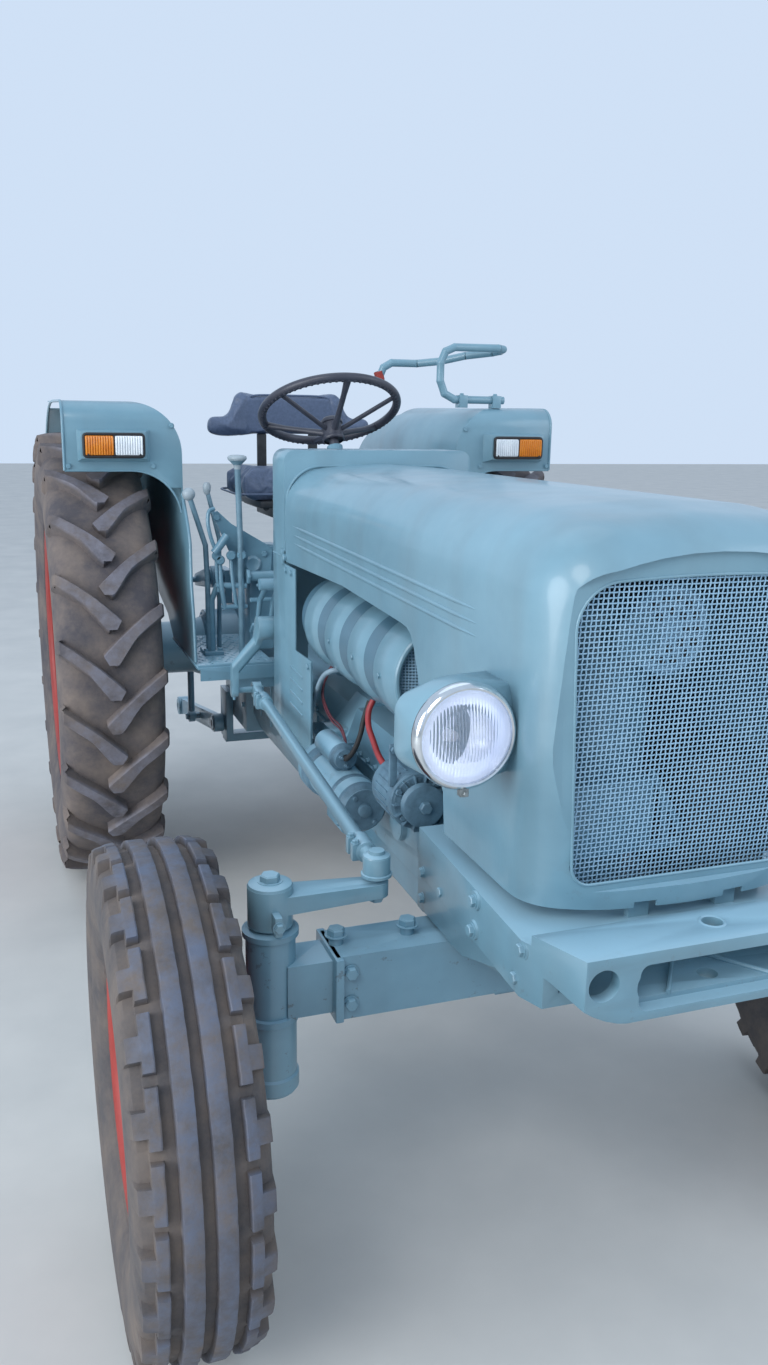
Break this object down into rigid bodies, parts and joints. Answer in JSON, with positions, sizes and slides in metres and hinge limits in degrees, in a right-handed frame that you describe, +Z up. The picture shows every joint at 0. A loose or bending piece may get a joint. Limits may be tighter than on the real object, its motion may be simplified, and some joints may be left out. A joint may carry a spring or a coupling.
{
  "type": "vintage farm tractor",
  "caption": "Vintage farm tractor with an open-sided hood, wire-mesh grille, side headlamps, open driver's place and rear lift linkage.",
  "frame": {"origin": "centre of the footprint, on the ground under the tyres", "axes": "+X to the tractor's left, +Y to its rear, +Z up"},
  "size_m": [1.742, 3.6024, 1.803],
  "materials": {
    "paint": "old brushed-on gloss",
    "castings": "dusty",
    "exhaust_iron": "rusted",
    "black_plastic": "matt",
    "black_metal": "satin",
    "steel": "worn",
    "seat_vinyl": "smooth vinyl",
    "lamp_lens": "clear moulded",
    "lamp_glass": "fluted",
    "brown_plastic": "polished",
    "rim_red": "satin",
    "tyre_rubber": "muddy"
  },
  "bodies": {
    "chassis": {"bolster": "paint", "front_axle": "paint", "engine_block": "paint", "cylinders": "castings", "fan_casing": "paint", "starter": "paint", "alternator": "paint", "exhaust": "exhaust_iron", "air_cleaner": "paint", "battery": "black_plastic", "gearbox": "paint", "rear_axle": "paint", "cowl": "paint", "steering_column": "paint", "footplates": "paint", "fender_right": "paint", "fender_left": "paint", "fender_lamps": "lamp_lens", "grab_rail": "paint", "seat": "seat_vinyl", "seat_base": "black_metal", "levers": "steel", "pedals": "steel", "drawbar": "paint"},
    "hood": {"hood": "paint", "grille": "paint", "headlamps": "paint", "headlamp_glass": "lamp_glass"},
    "knuckle_right": {"knuckle_right": "paint"},
    "front_wheel_right": {"front_rim_right": "rim_red", "front_tyre_right": "tyre_rubber"},
    "rear_wheel_right": {"rear_rim_right": "rim_red", "rear_tyre_right": "tyre_rubber"},
    "drag_link_right": {"drag_link_right": "paint"},
    "drop_arm_right": {"drop_arm_right": "paint"},
    "lower_link_right": {"lower_link_right": "paint"},
    "lift_rod_right": {"lift_rod_right": "paint"},
    "knuckle_left": {"knuckle_left": "paint"},
    "front_wheel_left": {"front_rim_left": "rim_red", "front_tyre_left": "tyre_rubber"},
    "rear_wheel_left": {"rear_rim_left": "rim_red", "rear_tyre_left": "tyre_rubber"},
    "drag_link_left": {"drag_link_left": "paint"},
    "drop_arm_left": {"drop_arm_left": "paint"},
    "lower_link_left": {"lower_link_left": "paint"},
    "lift_rod_left": {"lift_rod_left": "paint"},
    "steering_wheel": {"steering_wheel": "brown_plastic"},
    "lift_arms": {"lift_arms": "paint"}
  },
  "joints": [
    {"name": "hood_hinge", "type": "hinge", "parent": "chassis", "child": "hood", "pos_m": [0, -1.6602, 0.852], "axis": [1, 0, 0], "range_deg": [0, 60]},
    {"name": "steer_right", "type": "hinge", "parent": "chassis", "child": "knuckle_right", "pos_m": [-0.579, -1.2962, 0.6], "axis": [0, 0, 1], "range_deg": [-36, 36]},
    {"name": "drag_link_right_swing", "type": "hinge", "parent": "knuckle_right", "child": "drag_link_right", "pos_m": [-0.384, -1.2962, 0.79], "axis": [0.0098, 0.1649, 0.9863], "range_deg": [-40, 40]},
    {"name": "drop_arm_right_swing", "type": "hinge", "parent": "chassis", "child": "drop_arm_right", "pos_m": [-0.3, -0.0162, 0.978], "axis": [1, 0, 0], "range_deg": [-42, 42]},
    {"name": "front_wheel_right_spin", "type": "hinge", "parent": "knuckle_right", "child": "front_wheel_right", "pos_m": [-0.768, -1.2962, 0.43], "axis": [1, 0, 0], "continuous": true},
    {"name": "rear_wheel_right_spin", "type": "hinge", "parent": "chassis", "child": "rear_wheel_right", "pos_m": [-0.69, 0.8538, 0.75], "axis": [1, 0, 0], "continuous": true},
    {"name": "steer_left", "type": "hinge", "parent": "chassis", "child": "knuckle_left", "pos_m": [0.579, -1.2962, 0.6], "axis": [0, 0, 1], "range_deg": [-36, 36]},
    {"name": "drag_link_left_swing", "type": "hinge", "parent": "knuckle_left", "child": "drag_link_left", "pos_m": [0.384, -1.2962, 0.79], "axis": [-0.0098, 0.1649, 0.9863], "range_deg": [-40, 40]},
    {"name": "drop_arm_left_swing", "type": "hinge", "parent": "chassis", "child": "drop_arm_left", "pos_m": [0.3, -0.0162, 0.978], "axis": [1, 0, 0], "range_deg": [-42, 42]},
    {"name": "front_wheel_left_spin", "type": "hinge", "parent": "knuckle_left", "child": "front_wheel_left", "pos_m": [0.768, -1.2962, 0.43], "axis": [1, 0, 0], "continuous": true},
    {"name": "rear_wheel_left_spin", "type": "hinge", "parent": "chassis", "child": "rear_wheel_left", "pos_m": [0.69, 0.8538, 0.75], "axis": [1, 0, 0], "continuous": true},
    {"name": "steering_wheel_turn", "type": "hinge", "parent": "chassis", "child": "steering_wheel", "pos_m": [0, 0.29161, 1.5821], "axis": [0, 0.454, 0.891], "range_deg": [-650, 650]},
    {"name": "lift", "type": "hinge", "parent": "chassis", "child": "lift_arms", "pos_m": [0, 0.9438, 0.985], "axis": [1, 0, 0], "range_deg": [-8, 35]},
    {"name": "lower_link_right_swing", "type": "hinge", "parent": "chassis", "child": "lower_link_right", "pos_m": [-0.24, 0.9438, 0.43], "axis": [1, 0, 0], "range_deg": [-8.1, 35.1]},
    {"name": "lift_rod_right_swing", "type": "hinge", "parent": "lift_arms", "child": "lift_rod_right", "pos_m": [-0.284, 1.26879, 0.9277], "axis": [1, 0, 0], "range_deg": [-35.1, 8.1]},
    {"name": "lower_link_left_swing", "type": "hinge", "parent": "chassis", "child": "lower_link_left", "pos_m": [0.24, 0.9438, 0.43], "axis": [1, 0, 0], "range_deg": [-8.1, 35.1]},
    {"name": "lift_rod_left_swing", "type": "hinge", "parent": "lift_arms", "child": "lift_rod_left", "pos_m": [0.284, 1.26879, 0.9277], "axis": [1, 0, 0], "range_deg": [-35.1, 8.1]}
  ],
  "couplings": [
    {"joint": "steer_left", "follows": "steer_right", "ratio": 1},
    {"joint": "drag_link_right_swing", "follows": "steer_right", "ratio": -1.018},
    {"joint": "drag_link_left_swing", "follows": "steer_right", "ratio": -1.018},
    {"joint": "drop_arm_right_swing", "follows": "steer_right", "ratio": 1.105},
    {"joint": "drop_arm_left_swing", "follows": "steer_right", "ratio": -1.105},
    {"joint": "steering_wheel_turn", "follows": "steer_right", "ratio": 18},
    {"joint": "lower_link_right_swing", "follows": "lift", "ratio": 1},
    {"joint": "lift_rod_right_swing", "follows": "lift", "ratio": -1},
    {"joint": "lower_link_left_swing", "follows": "lift", "ratio": 1},
    {"joint": "lift_rod_left_swing", "follows": "lift", "ratio": -1}
  ]
}
